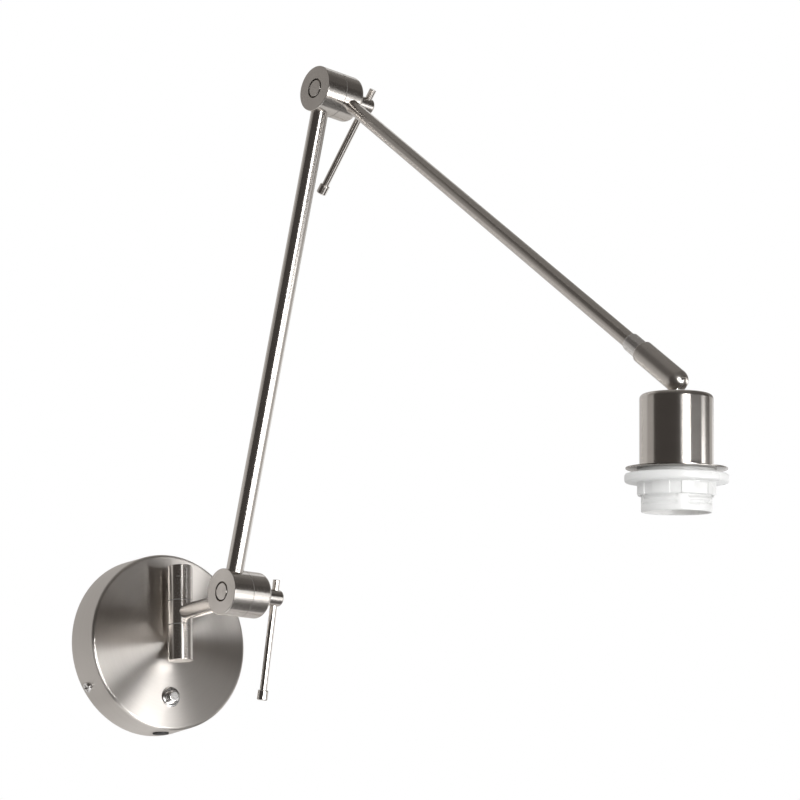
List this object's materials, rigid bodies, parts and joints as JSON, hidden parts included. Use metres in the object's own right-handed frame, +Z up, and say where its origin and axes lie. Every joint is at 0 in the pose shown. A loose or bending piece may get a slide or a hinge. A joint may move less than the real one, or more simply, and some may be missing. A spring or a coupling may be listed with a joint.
{
  "type": "articulating wall lamp",
  "caption": "Wall lamp with a round canopy, a swivel post, two arms with clamped elbows and a ball-jointed head that holds a screw-cap lamp.",
  "frame": {"origin": "centre of the canopy's back face, on the wall", "axes": "+Z up, +Y into the wall along its normal, +X to the right for someone facing the wall"},
  "size_m": [0.1333, 0.5323, 0.4338],
  "materials": {
    "brushed_nickel": "brushed nickel plate",
    "polished_chrome": "polished",
    "zinc_steel": "zinc plated",
    "brass": "plain",
    "white_plastic": "white, semi-gloss",
    "black_plastic": "moulded",
    "black_rubber": "matt",
    "bearing_plastic": "moulded"
  },
  "bodies": {
    "wall_base": {"canopy_shell": "brushed_nickel", "wall_bracket": "zinc_steel", "rim_screws": "polished_chrome", "cable_grommet": "black_rubber", "terminal_block": "white_plastic", "terminal_screws": "brass", "earth_screw": "brass", "earth_washer": "brass", "switch_bezel": "polished_chrome", "switch_nut": "zinc_steel", "switch_body": "black_plastic", "post_upper": "brushed_nickel", "post_lower": "brushed_nickel", "post_spindle": "zinc_steel", "post_spacers": "brushed_nickel", "post_studs": "zinc_steel", "stud_nuts": "zinc_steel"},
    "switch_plunger": {"switch_button": "polished_chrome"},
    "stub_arm": {"swivel_sleeve": "brushed_nickel", "swivel_washers": "bearing_plastic", "stub_tube": "brushed_nickel", "lower_rear_knuckle": "brushed_nickel", "lower_friction_disc": "bearing_plastic"},
    "lower_arm": {"lower_front_knuckle": "brushed_nickel", "lower_pivot_bolt": "brushed_nickel", "lower_arm_tube": "brushed_nickel", "upper_front_knuckle": "brushed_nickel", "upper_pivot_bolt": "brushed_nickel"},
    "lower_lever": {"lower_lever_hub": "brushed_nickel", "lower_lever_rod": "brushed_nickel", "lower_lever_knob": "brushed_nickel"},
    "upper_lever": {"upper_lever_hub": "brushed_nickel", "upper_lever_rod": "brushed_nickel", "upper_lever_knob": "brushed_nickel"},
    "upper_arm": {"upper_rear_knuckle": "brushed_nickel", "upper_friction_disc": "bearing_plastic", "upper_arm_tube": "brushed_nickel", "arm_end_collar": "brushed_nickel"},
    "arm_socket": {"ball_socket": "brushed_nickel", "pressure_pad": "bearing_plastic", "ball_spring": "zinc_steel"},
    "ball": {"ball_stem": "polished_chrome", "stem_washer": "zinc_steel", "stem_nut": "zinc_steel"},
    "lamp_head": {"cup_shell": "brushed_nickel", "cup_bridge": "zinc_steel", "contact_block": "white_plastic", "holder_screws": "zinc_steel", "screw_shell": "brass", "centre_contact": "brass", "side_contact": "brass", "shade_plate": "brushed_nickel", "holder_skirt": "white_plastic", "shade_ring": "white_plastic"}
  },
  "joints": [
    {"name": "arm_swivel", "type": "hinge", "parent": "wall_base", "child": "stub_arm", "pos_m": [0, -0.0421, 0.0184], "axis": [0, 0, 1], "range_deg": [-89.5, 80.5]},
    {"name": "lower_elbow", "type": "hinge", "parent": "stub_arm", "child": "lower_arm", "pos_m": [0.00639, -0.12325, 0.0184], "axis": [0.9969, 0.0785, 0], "range_deg": [-33.7, 86.2]},
    {"name": "upper_elbow", "type": "hinge", "parent": "lower_arm", "child": "upper_arm", "pos_m": [0.01529, -0.23633, 0.35257], "axis": [0.9969, 0.0785, 0], "range_deg": [-116.3, 30]},
    {"name": "lower_lever_turn", "type": "hinge", "parent": "lower_arm", "child": "lower_lever", "pos_m": [0.00639, -0.12325, 0.0184], "axis": [0.9969, 0.0785, 0], "range_deg": [-20, 120]},
    {"name": "upper_lever_turn", "type": "hinge", "parent": "lower_arm", "child": "upper_lever", "pos_m": [0.01529, -0.23633, 0.35257], "axis": [0.9969, 0.0785, 0], "range_deg": [-20, 120]},
    {"name": "socket_swivel", "type": "hinge", "parent": "upper_arm", "child": "arm_socket", "pos_m": [0.03696, -0.51169, 0.0754], "axis": [0.0554, -0.7037, -0.7083], "range_deg": [-90, 90]},
    {"name": "head_tilt", "type": "hinge", "parent": "arm_socket", "child": "ball", "pos_m": [0.03696, -0.51169, 0.0754], "axis": [0.9983, 0.0278, 0.0505], "range_deg": [-81.3, 36.7]},
    {"name": "head_turn", "type": "hinge", "parent": "ball", "child": "lamp_head", "pos_m": [0.03696, -0.51169, 0.0754], "axis": [0.0458, 0.1487, -0.9878], "range_deg": [-165, 165]},
    {"name": "switch_press", "type": "slide", "parent": "wall_base", "child": "switch_plunger", "axis": [0, 1, 0], "range_m": [0, 0.002], "stiffness_N_per_m": 600, "springref_m": -0.002}
  ]
}
